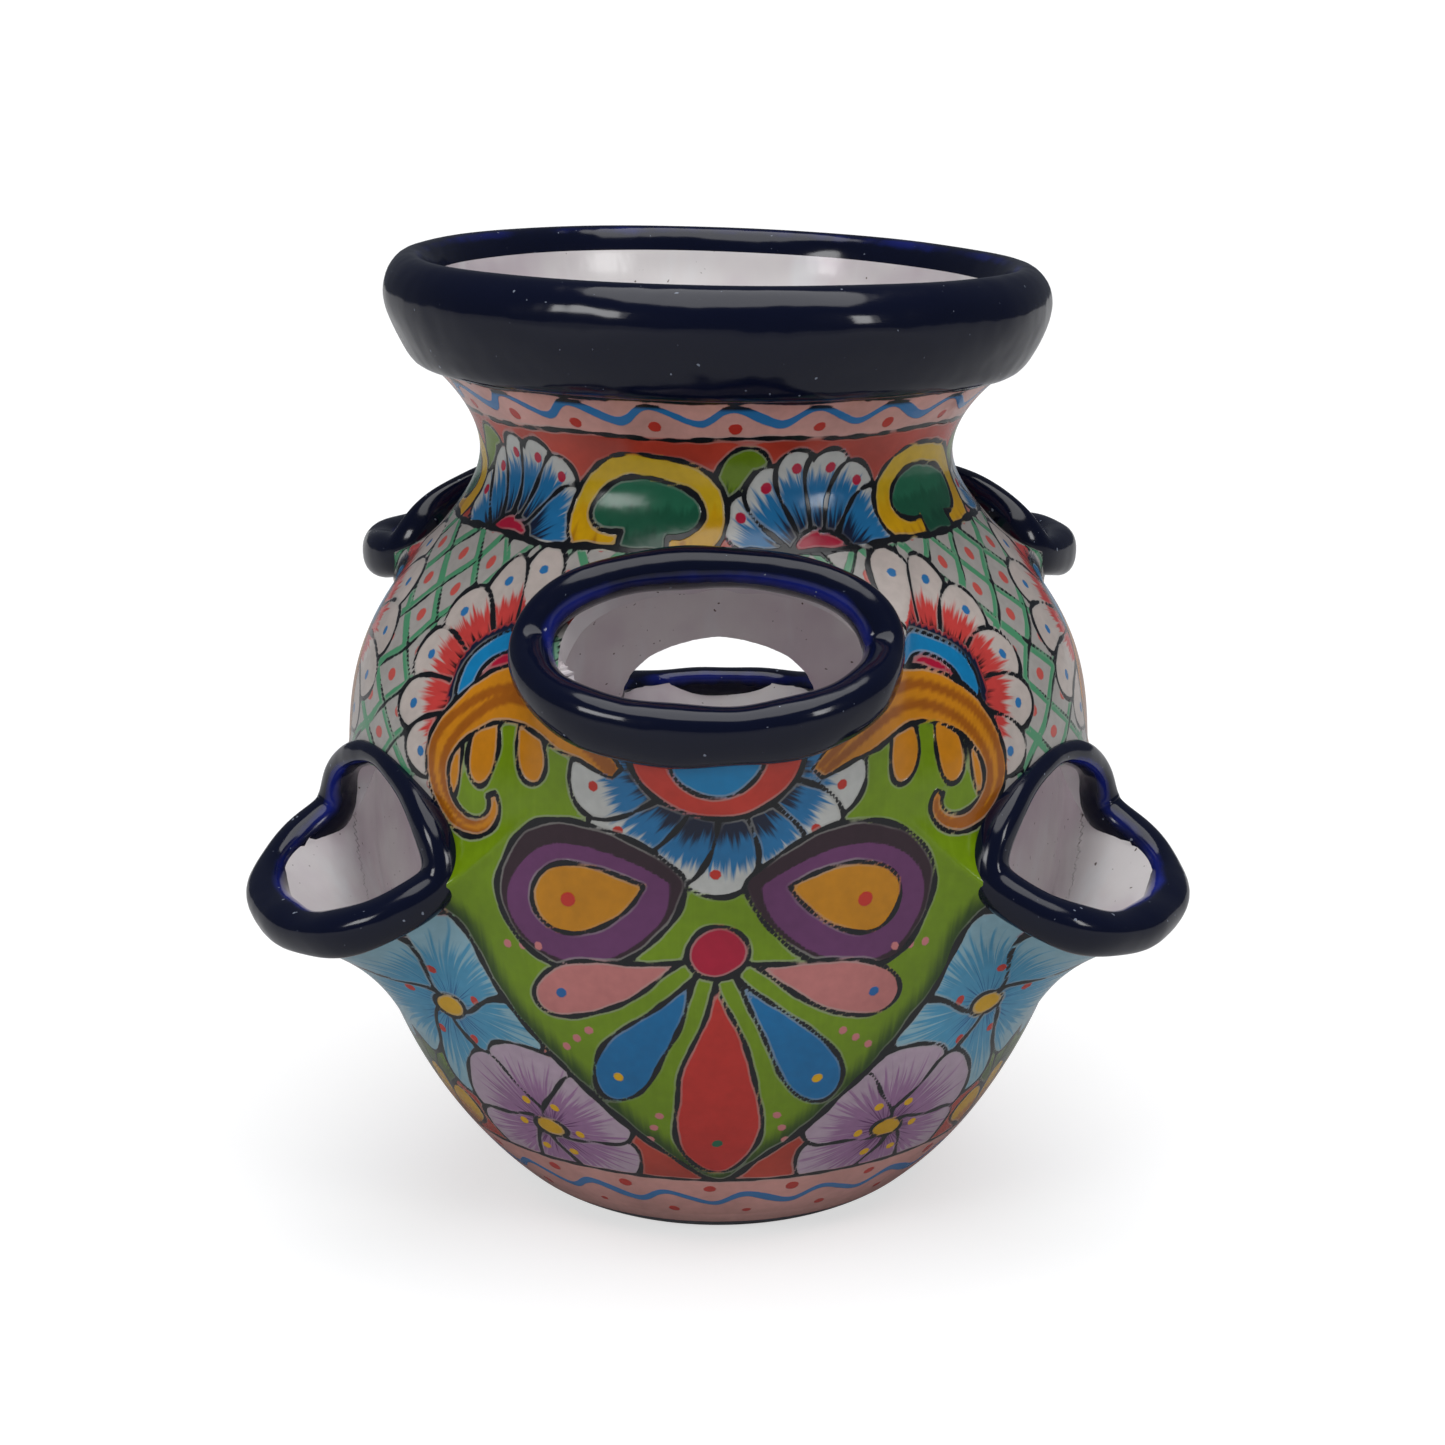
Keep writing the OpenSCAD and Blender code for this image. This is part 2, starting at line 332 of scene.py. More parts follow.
def rule(gap, line=1.3):
    """A black line."""
    ink_gap[:] = np.minimum(ink_gap, gap - line * unsteady / 2)


def dab(gap, glaze):
    """A dot or band of thick glaze with a crisp edge and no black line."""
    drop_glaze[gap < 1.6] = glaze
    drop_gap[:] = np.minimum(drop_gap, gap)


def strokes_from(angle, reach, length, wildness, dark=0.36, pale=0.65):
    """Brush values for strokes that run outwards: dark glaze ends at one share, pale starts at another."""
    along = 0.36 + (reach / length - dark) * 0.29 / (pale - dark)
    return np.stack([angle * length, along, np.full(COUNT, wildness)], -1)


def petal_shape(root, tip, width, k):
    """Outline of one petal, narrow at its root and round at its tip."""
    root, tip, scale = np.array(root, float), np.array(tip, float), np.array([k, 1.0])
    axis = (tip - root) * scale
    length = np.linalg.norm(axis)
    along = axis / length
    side = np.array([-along[1], along[0]])
    half = [(0.05, 0.16), (0.4, 0.34), (0.7, 0.5), (0.9, 0.44), (1.0, 0.17)]
    shape = half + [(s, -w) for s, w in reversed(half)]
    return [(root * scale + along * s * length + side * w * width) / scale for s, w in shape]


def fan(canvas, centre, tips, width, glazes, k, stretch=1.0, dots=None, wildness=0.13, line=1.4, dark=0.36,
        pale=0.65):
    """A fan of petals about a point, each brushed from a dark root to a pale tip."""
    angle, reach = canvas.around(*centre, stretch)
    for tip in tips:
        length = math.hypot((tip[0] - centre[0]) * k / stretch, tip[1] - centre[1])
        strokes = strokes_from(angle, reach, length, wildness, dark, pale)
        flood(canvas.gap(petal_shape(centre, tip, width, k)), glazes, line, strokes)
        if dots is not None:
            at = np.array(centre) + 0.84 * (np.array(tip) - centre)
            dab(canvas.round(at[0], at[1], 1.55), dots)


def spread(centre, reach, angles, k):
    """Places at one distance in mm round a point, at angles in degrees from straight up."""
    turned = [math.radians(a) for a in angles]
    return [(centre[0] + reach * math.sin(a) / k, centre[1] + reach * math.cos(a)) for a in turned]


def tear(point, length, width, angle, k, pinch=1.0):
    """Outline of a drop that hangs from its point, at an angle in degrees from straight down."""
    t = np.linspace(0, 2 * math.pi, 16, endpoint=False)
    along = length * (1 - np.cos(t)) / 2
    across_it = np.sin(t) * np.abs(np.sin(t / 2)) ** pinch
    across_it *= width / 2 / across_it.max()
    a = math.radians(angle)
    x, y = along * math.sin(a) + across_it * math.cos(a), across_it * math.sin(a) - along * math.cos(a)
    return np.stack([point[0] + x / k, point[1] + y], -1)


def ribbon(line, widths, k):
    """Outline of a band that follows a line, with its width in mm at each point."""
    line = np.asarray(line, float) * (k, 1)
    ahead = np.gradient(line, axis=0)
    ahead /= np.linalg.norm(ahead, axis=1)[:, None]
    off = np.stack([-ahead[:, 1], ahead[:, 0]], -1) * np.asarray(widths)[:, None] / 2
    return np.vstack([line + off, (line - off)[::-1]]) / (k, 1)


# The pattern repeats in three parts around the body, each about an upper pocket.
lap = np.where(turn > 180, turn - 360, turn)
side = np.sign(lap)
away = abs(lap)
across = np.where(away < 60, lap, side * np.where(away < 134, (away - 134) * 60 / 74, (away - 134) * 60 / 46))
share = np.where(away < 60, 1.0, np.where(away < 134, 74 / 60, 46 / 60))
body = Canvas(across, wide * share)

# Coral ground, and a white panel of crossed green lines on the shoulder between the pockets.
soft = 0.5 + 0.5 * np.sin(turn * 0.21 + high * 0.11) * np.sin(high * 0.17 - turn * 0.09)
ground = CORAL * (0.86 + 0.28 * soft[:, None])
flood(np.full(COUNT, -FAR), (ground, ground, ground), 0)
streaks = np.stack([turn * 1.8, high / 60, np.full(COUNT, 0.3)], -1)
panel = [(-82, 212), (82, 212), (82, 108), (56, 112), (38, 118), (36, 150), (20, 175), (-20, 175), (-36, 150),
         (-38, 118), (-56, 112), (-82, 108)]
flood(body.gap(panel, smooth=False), (WHITE, WHITE * 0.97, WHITE * 0.9), 0, streaks)
inside_panel = body.gap(panel, smooth=False) < 0
CELL = 11.5
lean_x = np.where(across < 0, across + 60, across - 60) * 1.62
lean_y = (high - 160) * 1.12
for sign in (1, -1):
    way = (lean_x * 0.98 + sign * lean_y * 0.9) / math.sqrt(2) + 0.5 * np.sin(high * 0.2 + turn * 0.3)
    fold = abs((way + CELL / 2) % CELL - CELL / 2)
    green_band = np.where(inside_panel, fold - 1.2, FAR)
    dab(green_band, linear("#4b8f68"))
    thin = abs((way + CELL / 2 - 0.9) % CELL - CELL / 2) - 0.42 * unsteady
    broken = np.sin(way * 0.7 + (lean_x - sign * lean_y) * 0.13) > -0.75
    ink_gap[:] = np.where(inside_panel & broken, np.minimum(ink_gap, thin), ink_gap)
cell_a = (lean_x * 0.98 + lean_y * 0.9) / math.sqrt(2)
cell_b = (lean_x * 0.98 - lean_y * 0.9) / math.sqrt(2)
dot = np.hypot(cell_a % CELL - CELL / 2, cell_b % CELL - CELL / 2) - 1.7
dab(np.where(inside_panel, dot, FAR), SALMON)

# Under each lower pocket: a light-blue flower by the shield, a lilac one below it, and green leaves.
PALE_BLUE = (linear("#1c5f96"), linear("#4a9ac0"), linear("#93bccb"))
LILAC = (linear("#6d3c70"), linear("#a276a0"), linear("#bfa8ba"))
LEAF = (linear("#3f5a12"), linear("#6c8a17"), linear("#93a53a"))
for s in (-1, 1):
    foot_of_leaves, ear = (s * 60, 42), (s * 61, 28)
    fan(body, foot_of_leaves, spread(foot_of_leaves, 40, (-48, -16, 16, 48), 1.75), 15, LEAF, 1.75)
    fan(body, ear, spread(ear, 22, (-50, 0, 50), 1.6), 13, (RUST, ORANGE, YELLOW), 1.6)
    flower, reach = (s * 45, 78), 33
    turns = [s * (36 + 72 * n) for n in range(5)]
    fan(body, flower, spread(flower, reach, turns, 1.9), 30, PALE_BLUE, 1.9, wildness=0.3, dark=0.12,
        pale=0.7)
    for at in spread(flower, 12, [a + 36 for a in turns], 1.9):
        dab(body.round(*at, 1.6), RED)
    flood(body.round(*flower, 4.0, 1.4), (YELLOW, YELLOW, YELLOW), 1.1)
    flower, reach = (s * 31, 42), 29
    turns = [s * 60 * n for n in range(6)]
    fan(body, flower, spread(flower, reach, turns, 1.7), 26, LILAC, 1.7, wildness=0.32, dark=0.22, pale=0.66)
    for at in spread(flower, 10, [a + 30 for a in turns], 1.7):
        dab(body.round(*at, 1.5), YELLOW)
    flood(body.round(*flower, 3.8, 1.4), (YELLOW, YELLOW, YELLOW), 1.1)

# Dark-rooted red petals stand round the sides of the lip, over a blue arc and a crimson heart.
FLAME = (linear("#17191c"), linear("#cf4440"), linear("#c9bdb6"))
for s in (-1, 1):
    heart = (s * 33, 171)
    tips = spread(heart, 36, [s * a for a in range(5, 134, 25)], 1.6)
    fan(body, heart, tips, 15, FLAME, 1.6, dots=linear("#2b6ea6"), wildness=0.2, dark=0.6, pale=0.84)
    flood(body.round(*heart, 21), (NAVY * 0.6, NAVY * 0.6, NAVY * 0.6), 0)
    flood(body.round(*heart, 18.5), (BLUE, SKY, SKY), 1.2)
    flood(body.round(*heart, 12.0), CRIMSON, 1.2)

# The lime shield below the pocket, with a dark brushed edge: two even curves that meet in a point.
SHIELD_POINT, SHIELD_SHOULDER, SHIELD_HALF = 28, 150, 44
rise = np.linspace(0, 1, 12)
half = SHIELD_HALF * np.sin(rise * math.pi / 2) ** 0.8
level = SHIELD_POINT + rise * (SHIELD_SHOULDER - SHIELD_POINT)
shield = [*zip(half, level), (30, 170), (-30, 170), *zip(-half[:0:-1], level[:0:-1])]
edge = body.gap(shield)
depth = np.clip(-edge / 14, 0, 1)
flood(edge, (LIME_DARK, LIME, LIME_PALE), 2.0,
      np.stack([turn * 1.9, 0.24 + 0.36 * depth, np.full(COUNT, 0.04)], -1))

# The flower under the lip: seven navy-rooted petals in a half ring, a red ring and a blue heart.
WAVE_BLUE = (linear("#161f38"), linear("#2476ad"), linear("#c9cac6"))
heart = (0, 163)
fan(body, heart, spread(heart, 40, range(108, 253, 24), 1.9), 20, WAVE_BLUE, 1.9, dots=RED, wildness=0.17,
    dark=0.62, pale=0.82)
flood(body.round(*heart, 17.5, 1.35), linear("#c93d2f"), 1.3)
flood(body.round(*heart, 11, 1.1), (BLUE, SKY, SKY), 1.2)

# An orange scroll curls down each side of the flower: a ribbon on a logarithmic spiral, with three fingers.
SCROLL = (linear("#a85d12"), linear("#d08516"), linear("#d9962a"))
VOLUTE, VOLUTE_K, OPENING, FALL = (35, 144), 1.8, 42, 0.0066
for s in (-1, 1):
    swing = np.linspace(-72, 285, 30)
    reach = OPENING * np.exp(-(swing + 72) * FALL)
    swept = np.radians(swing)
    line = np.stack([s * (VOLUTE[0] + reach * np.sin(swept) / VOLUTE_K),
                     VOLUTE[1] + reach * np.cos(swept)], -1)
    widths = 20 * np.exp(-(swing + 72) * 0.0056) * np.clip((swing + 80) / 34, 0.2, 1)
    for step in (4, 6, 8):
        finger = tear(line[step], 23, 9, -s * (26 - 4 * step), VOLUTE_K, 0.5)
        flood(body.gap(finger), SCROLL, 1.2, np.stack([high * 0.5, 0.5 + 0 * high, np.full(COUNT, 0.12)], -1))
    gap = body.gap(ribbon(line, widths, VOLUTE_K), smooth=False)
    flood(gap, SCROLL, 1.3, np.stack([turn * 0.5, 0.5 + 0 * turn, np.full(COUNT, 0.12)], -1))
    spine = body.gap(line, closed=False)
    stroke = ease(0.1, 0.6, np.sin(spine * 0.85 + 0.8 * np.sin(high * 0.09 + turn * 0.07)))
    wash = (stroke * (gap < -0.8) * 0.7)[:, None]
    for layer in (root_glaze, middle_glaze, tip_glaze):
        layer[:] = layer * (1 - wash) + RUST * wash

# Two aubergine almonds with amber tears in them, alike on both sides.
PURPLE, PLUM = linear("#6d3a6a"), linear("#34202b")
for s in (-1, 1):
    gap = body.gap(tear((s * 4, 127), 52, 42, s * 77, 1.85, 0.45))
    rim = 3.0 + 5.0 * ease(112, 142, high)
    strokes = np.stack([turn * 1.5, 0.2 + 0.55 * ease(-rim - 1.2, -rim + 1.2, gap), np.full(COUNT, 0.05)], -1)
    flood(gap, (PURPLE, PURPLE, PLUM), 1.5, strokes)
    gap = body.gap(tear((s * 10, 125), 31, 20, s * 74, 1.85, 0.9))
    flood(gap, (linear("#c4760f"), linear("#d08a12"), linear("#b2620c")), 1.3,
          np.stack([turn * 0.8, 0.5 + 0 * gap, np.full(COUNT, 0.12)], -1))
    dab(body.round(s * 21, 119, 2.1), RED)

# A crimson ball with five drops that hang out of it, and rows of pink dots between them.
BALL, DROP_K = (0, 106), 1.9
DROPS = [(0, 65, 27, "#c4322a", GREEN), (-36, 50, 16, "#1272ac", YELLOW), (36, 50, 16, "#1272ac", YELLOW),
         (-71, 45, 16, "#c67b78", BLUE), (71, 45, 16, "#c67b78", BLUE)]
for lean, length, width, code, seed_glaze in DROPS:
    point = spread(BALL, 9, [180 - lean], DROP_K)[0]
    seed = spread(BALL, 9 + length * 0.82, [180 - lean], DROP_K)[0]
    glaze = linear(code)
    gap = body.gap(tear(point, length, width, lean, DROP_K, 1.5))
    flood(gap, (glaze * 0.85, glaze, glaze * 1.15), 1.3,
          np.stack([turn * 0.7, 0.5 + 0 * gap, np.full(COUNT, 0.1)], -1))
    dab(body.round(*seed, 1.5), seed_glaze)
flood(body.round(*BALL, 8.0), (CRIMSON * 0.9, CRIMSON, CRIMSON), 1.5)
for lean, first in ((19, 56), (54, 44), (88, 49)):
    for s in (-1, 1):
        for n in range(3):
            dab(body.round(*spread(BALL, first + 5 * n, [180 - s * lean], DROP_K)[0], 1.3), linear("#c27677"))

# The neck carries five repeats of a yellow scroll, a leaf and a fan of petals on coral.
neck_turn = (lap + 50) % 72 - 50
neck = Canvas(neck_turn, wide)
NECK_LINE = 207.5
on_neck = high > NECK_LINE
kept_before = [layer.copy() for layer in (root_glaze, middle_glaze, tip_glaze, drop_glaze, brush)]
gaps_before = ink_gap.copy(), drop_gap.copy()
flood(np.full(COUNT, -FAR), (ground, ground * 1.08, ground), 0)
NECK_K = 1.35
angle, reach = neck.around(1, 215)
flood(neck.gap(tear((-1, 214), 25, 15, 145, NECK_K, 0.6)), (LEAF[0], LEAF[1], LEAF[1]), 1.2,
      strokes_from(angle, reach, 24, 0.2))
rule(neck.gap([(0, 216), (4, 222), (8, 229)], closed=False), 1.0)
for u in (22, -50):
    fan(neck, (u, 203), spread((u, 203), 31, range(-60, 61, 24), NECK_K), 15, WAVE_BLUE, NECK_K, dots=CRIMSON,
        wildness=0.2, dark=0.5, pale=0.78)
    flood(neck.round(u, 204, 10), CRIMSON, 1.3)
# The yellow scroll is one thick arch whose two ends turn in, over a green ground.
ARCH = (-16, 215)
swept = np.radians(np.linspace(-150, 150, 25))
reach = 14.5 * (1 - 0.4 * (abs(swept) / swept[-1]) ** 3)
arch = np.stack([ARCH[0] + 1.6 * reach * np.sin(swept) / NECK_K, ARCH[1] + reach * np.cos(swept)], -1)
flood(neck.round(*ARCH, 12.5, 1.6), (linear("#15503a"), GREEN, linear("#2a7355")), 1.2,
      np.stack([turn * 0.8, (high - 205) / 20, np.full(COUNT, 0.15)], -1))
flood(neck.gap(ribbon(arch, 6.5 + 2.0 * (abs(swept) / swept[-1]) ** 2, NECK_K), smooth=False),
      (OCHRE, YELLOW, linear("#dcb41c")), 1.4,
      np.stack([turn * 0.6, 0.25 + (high - 204) / 34, np.full(COUNT, 0.2)], -1))
for layer, before in zip((root_glaze, middle_glaze, tip_glaze, drop_glaze, brush), kept_before):
    layer[~on_neck] = before[~on_neck]
ink_gap[~on_neck], drop_gap[~on_neck] = gaps_before[0][~on_neck], gaps_before[1][~on_neck]
rule(abs(high - NECK_LINE - 0.4 * np.sin(turn * 0.2)) * tall, 2.0)


def pink_border(low, top, wave_middle, wave_height, waves, dots_up, dots_down, start):
    """A pink band with a blue wave in it and a red dot in each hollow of the wave."""
    edge = np.where((high > low) & (high < top), -FAR, FAR)
    fade = ease(low, top, high)[:, None]
    pale = PINK * (1.12 - 0.1 * fade) * (1 - 0.5 * soft[:, None] * 0.3) + CORAL * 0.12 * fade
    flood(edge, (pale, pale, pale), 0)
    phase = np.radians((lap - start) * waves) + 0.35 * np.sin(np.radians(lap * 2))
    wave = wave_middle + wave_height * np.sin(phase + 0.3 * np.sin(phase))
    slope = wave_height * np.cos(phase) * math.radians(waves) / wide
    thickness = 1.5 + 0.3 * np.sin(phase * 0.5)
    dab(abs(high - wave) * tall / np.sqrt(1 + slope**2) - thickness, linear("#2a74b0"))
    step = 360 / waves
    for rise, offset in ((dots_up, 0.75), (dots_down, 0.25)):
        nearest = (lap - start - step * offset + step / 2) % step - step / 2
        dab(np.hypot(nearest * wide, (high - rise) * tall) - 1.75 * unsteady, RED)


pink_border(237.6, 260, 244.6, 2.4, 21, 249.6, 240.8, -0.3)
rule(abs(high - 237.6 - 0.4 * np.sin(turn * 0.15)) * tall, 1.5)
# A near-black band round the neck just under the rim: partly a dark line at the rim's seat, partly painted
# shade where the rim overhangs the neck.
dab(248.3 + 0.3 * np.sin(turn * 0.3) - high, linear("#10131f"))
pink_border(-5, 28, 19, 2.3, 21, 23.6, 12.8, 2.5)
rule(abs(high - 28) * tall, 1.4)

for name, values in (("root_glaze", root_glaze), ("middle_glaze", middle_glaze), ("tip_glaze", tip_glaze),
                     ("drop_glaze", drop_glaze), ("brush", brush)):
    keep(skin, name, values, "FLOAT_VECTOR")
keep(skin, "ink_gap", ink_gap)
keep(skin, "drop_gap", drop_gap)
for name in ("turn", "high", "clay", "mm_per_degree", "mm_per_height"):
    skin.data.attributes.remove(skin.data.attributes[name])

# ---------------------------------------------------------------- tin glazes of the wall
# White tin glaze over the clay, outside and in. Outside, coloured glazes are flooded between black
# lines before the firing; inside, it is left plain.

NOISE, STEP, MIX, MATH = "ShaderNodeTexNoise", "ShaderNodeMapRange", "ShaderNodeMix", "ShaderNodeMath"
SOFT = {"interpolation_type": "SMOOTHSTEP"}
COLOURS = {"data_type": "RGBA"}


def fill_inputs(tree, node, inputs):
    """Gives each named input of a node its value, or links it to (node, output)."""
    for name, value in inputs.items():
        if isinstance(value, tuple) and isinstance(value[0], bpy.types.Node):
            tree.links.new(value[0].outputs[value[1]], node.inputs[name])
        else:
            node.inputs[name].default_value = value


def add(tree, kind, inputs=None, **settings):
    """Adds a node with its settings and links."""
    node = tree.nodes.new(kind)
    for name, value in settings.items():
        setattr(node, name, value)
    fill_inputs(tree, node, inputs or {})
    return node


def new_glaze(name):
    """An empty material and its shader."""
    material = bpy.data.materials.new(name)
    material.use_nodes = True
    tree = material.node_tree
    tree.nodes.clear()
    shader = add(tree, "ShaderNodeBsdfPrincipled")
    add(tree, "ShaderNodeOutputMaterial", {"Surface": (shader, 0)})
    return material, tree, shader


def rgba(colour):
    """A linear colour with full cover, as a node's input takes it."""
    return (*[float(c) for c in colour], 1.0)


# Glossy painted tin glaze: crisp lines with a pale edge where the glaze drew back from them, brushed
# colour inside, a slight orange-peel ripple and lines that stand a little proud.
painted, tree, shader = new_glaze("painted_tin_glaze")
place = (add(tree, "ShaderNodeTexCoord"), "Object")
PAINTED_VALUES = ("brush", "root_glaze", "middle_glaze", "tip_glaze", "drop_glaze", "drop_gap", "ink_gap")
stored = {name: add(tree, "ShaderNodeAttribute", attribute_name=name) for name in PAINTED_VALUES}
brushed = add(tree, "ShaderNodeSeparateXYZ", {0: (stored["brush"], "Vector")})
beside = add(tree, MATH, {0: (brushed, 0), 1: 0.62}, operation="MULTIPLY")
along = add(tree, MATH, {0: (brushed, 1), 1: 1.6}, operation="MULTIPLY")
bristle_place = add(tree, "ShaderNodeCombineXYZ", {0: (beside, 0), 1: (along, 0)})
bristle = add(tree, NOISE, {"Vector": (bristle_place, 0), "Scale": 1.0})
wander = add(tree, MATH, {0: (bristle, "Fac"), 1: 3.0, 2: -1.5}, operation="MULTIPLY_ADD")
stroke = add(tree, MATH, {0: (wander, 0), 1: (brushed, 2), 2: (brushed, 1)}, operation="MULTIPLY_ADD")
past_root = add(tree, STEP, {0: (stroke, 0), 1: 0.28, 2: 0.44}, **SOFT)
past_middle = add(tree, STEP, {0: (stroke, 0), 1: 0.58, 2: 0.72}, **SOFT)
root, middle, tip, drop = ((stored[name + "_glaze"], "Vector") for name in ("root", "middle", "tip", "drop"))
colour = add(tree, MIX, {0: (past_root, 0), 6: root, 7: middle}, **COLOURS)
colour = add(tree, MIX, {0: (past_middle, 0), 6: (colour, 2), 7: tip}, **COLOURS)
cloud = add(tree, NOISE, {"Vector": place, "Scale": 34.0, "Detail": 3.0})
speck = add(tree, NOISE, {"Vector": place, "Scale": 330.0})
shade = add(tree, MATH, {0: (cloud, "Fac"), 1: 0.4, 2: 0.54}, operation="MULTIPLY_ADD")
shade = add(tree, MATH, {0: (speck, "Fac"), 1: 0.24, 2: (shade, 0)}, operation="MULTIPLY_ADD")
colour = add(tree, "ShaderNodeVectorMath", {0: (colour, 2), "Scale": (shade, 0)}, operation="SCALE")
grit = add(tree, NOISE, {"Vector": place, "Scale": 420.0})
edge_noise = add(tree, MATH, {0: (grit, "Fac"), 1: 0.4, 2: -0.2}, operation="MULTIPLY_ADD")
drop_edge = add(tree, MATH, {0: (stored["drop_gap"], "Fac"), 1: (edge_noise, 0)}, operation="ADD")
drops = add(tree, STEP, {0: (drop_edge, 0), 1: -0.22, 2: 0.22, 3: 1.0, 4: 0.0}, **SOFT)
colour = add(tree, MIX, {0: (drops, 0), 6: (colour, 0), 7: drop}, **COLOURS)
ink_edge = add(tree, MATH, {0: (stored["ink_gap"], "Fac"), 1: (edge_noise, 0)}, operation="ADD")
drawn_back = add(tree, STEP, {0: (ink_edge, 0), 1: 0.75, 2: 0.3, 3: 0.0, 4: 0.42}, **SOFT)
cloudy = add(tree, STEP, {0: (cloud, "Fac"), 1: 0.35, 2: 0.6}, **SOFT)
halo = add(tree, MATH, {0: (drawn_back, 0), 1: (cloudy, 0)}, operation="MULTIPLY")
colour = add(tree, MIX, {0: (halo, 0), 6: (colour, 2), 7: rgba(linear("#a3a29c"))}, **COLOURS)
ink = add(tree, STEP, {0: (ink_edge, 0), 1: -0.16, 2: 0.16, 3: 1.0, 4: 0.0}, **SOFT)
colour = add(tree, MIX, {0: (ink, 0), 6: (colour, 2), 7: rgba(BLACK)}, **COLOURS)
ripple = add(tree, NOISE, {"Vector": place, "Scale": 120.0})
peel = add(tree, MATH, {0: (ripple, "Fac"), 1: 0.35}, operation="MULTIPLY")
height = add(tree, MATH, {0: (ink, 0), 1: 0.16, 2: (peel, 0)}, operation="MULTIPLY_ADD")
height = add(tree, MATH, {0: (drops, 0), 1: 0.2, 2: (height, 0)}, operation="MULTIPLY_ADD")
bump = add(tree, "ShaderNodeBump", {"Strength": 0.55, "Distance": 0.001, "Height": (height, 0)})
smear = add(tree, NOISE, {"Vector": place, "Scale": 60.0})
gloss = add(tree, STEP, {0: (smear, "Fac"), 1: 0.3, 2: 0.75, 3: 0.14, 4: 0.24}, **SOFT)
fill_inputs(tree, shader, {"Base Color": (colour, 2), "Roughness": (gloss, 0), "Normal": (bump, 0),
                           "IOR": 1.5, "Specular IOR Level": 0.38})

# The plain tin glaze inside: milky, a little pink and mauve where it pooled, with faint runs and pits.
plain, tree, shader = new_glaze("plain_tin_glaze")
place = (add(tree, "ShaderNodeTexCoord"), "Object")
pool = add(tree, NOISE, {"Vector": place, "Scale": 22.0, "Detail": 3.0, "Roughness": 0.6})
runs_place = add(tree, "ShaderNodeMapping", {"Vector": place, "Scale": (1.0, 1.0, 0.25)})
runs = add(tree, NOISE, {"Vector": (runs_place, 0), "Scale": 70.0, "Detail": 3.0})
pits = add(tree, NOISE, {"Vector": place, "Scale": 520.0, "Detail": 1.0})
pooled = add(tree, STEP, {0: (pool, "Fac"), 1: 0.35, 2: 0.68}, **SOFT)
run_down = add(tree, STEP, {0: (runs, "Fac"), 1: 0.52, 2: 0.75, 3: 0.0, 4: 0.5}, **SOFT)
pitted = add(tree, STEP, {0: (pits, "Fac"), 1: 0.74, 2: 0.79}, **SOFT)
colour = add(tree, MIX, {0: (pooled, 0), 6: rgba(linear("#e6e2e1")), 7: rgba(linear("#d3c6cd"))}, **COLOURS)
colour = add(tree, MIX, {0: (run_down, 0), 6: (colour, 2), 7: rgba(linear("#eceff0"))}, **COLOURS)
colour = add(tree, MIX, {0: (pitted, 0), 6: (colour, 2), 7: rgba(linear("#6a5d58"))}, **COLOURS)
bump = add(tree, "ShaderNodeBump", {"Strength": 0.5, "Distance": 0.001, "Height": (runs, "Fac")})
fill_inputs(tree, shader, {"Base Color": (colour, 2), "Normal": (bump, 0), "Roughness": 0.22, "IOR": 1.5})

# ---------------------------------------------------------------- wall rings and pouches
# Four rings of wall and six pouches are parted from the painted skin, and each gets its thickness
# inwards, with plain glaze on the inside. They meet edge to edge, as luted clay does.

WALL = 6.5
LOWEST_CUT, HIGHEST_CUT = 0.0115, 0.238


def cut_out(piece, chosen):
    """Parts the chosen faces from a piece and gives them back as a piece of their own."""
    unselect()
    bpy.context.view_layer.objects.active = piece
    piece.select_set(True)
    flags = np.zeros(len(piece.data.vertices), dtype=bool)
    piece.data.vertices.foreach_set("select", flags)
    piece.data.edges.foreach_set("select", np.zeros(len(piece.data.edges), dtype=bool))
    piece.data.polygons.foreach_set("select", chosen)
    bpy.ops.object.mode_set(mode="EDIT")
    bpy.ops.mesh.separate(type="SELECTED")
    bpy.ops.object.mode_set(mode="OBJECT")
    return next(p for p in bpy.context.selected_objects if p is not piece)


def finish_piece(piece, node, angle=50):
    """Smooths a piece and hands it to the frame in place of its CAD node."""
    unselect()
    bpy.context.view_layer.objects.active = piece
    piece.select_set(True)
    bpy.ops.object.shade_smooth_by_angle(angle=math.radians(angle))
    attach(piece, "root")
    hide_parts(node)


def soften_mouths():
    """Runs a wet finger round the cut mouths, which takes the steps out of their edges."""
    mesh = skin.data
    faces = np.flatnonzero(kept(skin, "owner") >= 0)
    loops = corners.reshape(-1, 4)[faces]
    pairs = np.sort(np.stack([loops, np.roll(loops, -1, 1)], -1).reshape(-1, 2), 1)
    edges, uses = np.unique(pairs, axis=0, return_counts=True)
    rim_edges = edges[uses == 1]
    here = np.empty(len(mesh.vertices) * 3)
    mesh.vertices.foreach_get("co", here)
    here = here.reshape(-1, 3)
    count = np.bincount(rim_edges.ravel(), minlength=len(here))
    cut = (count == 2) & (here[:, 2] > LOWEST_CUT) & (here[:, 2] < HIGHEST_CUT)
    for _ in range(14):
        total = np.zeros_like(here)
        np.add.at(total, rim_edges[:, 0], here[rim_edges[:, 1]])
        np.add.at(total, rim_edges[:, 1], here[rim_edges[:, 0]])
        here[cut] = 0.5 * here[cut] + 0.25 * total[cut]
    mesh.vertices.foreach_set("co", here.ravel())
    mesh.update()


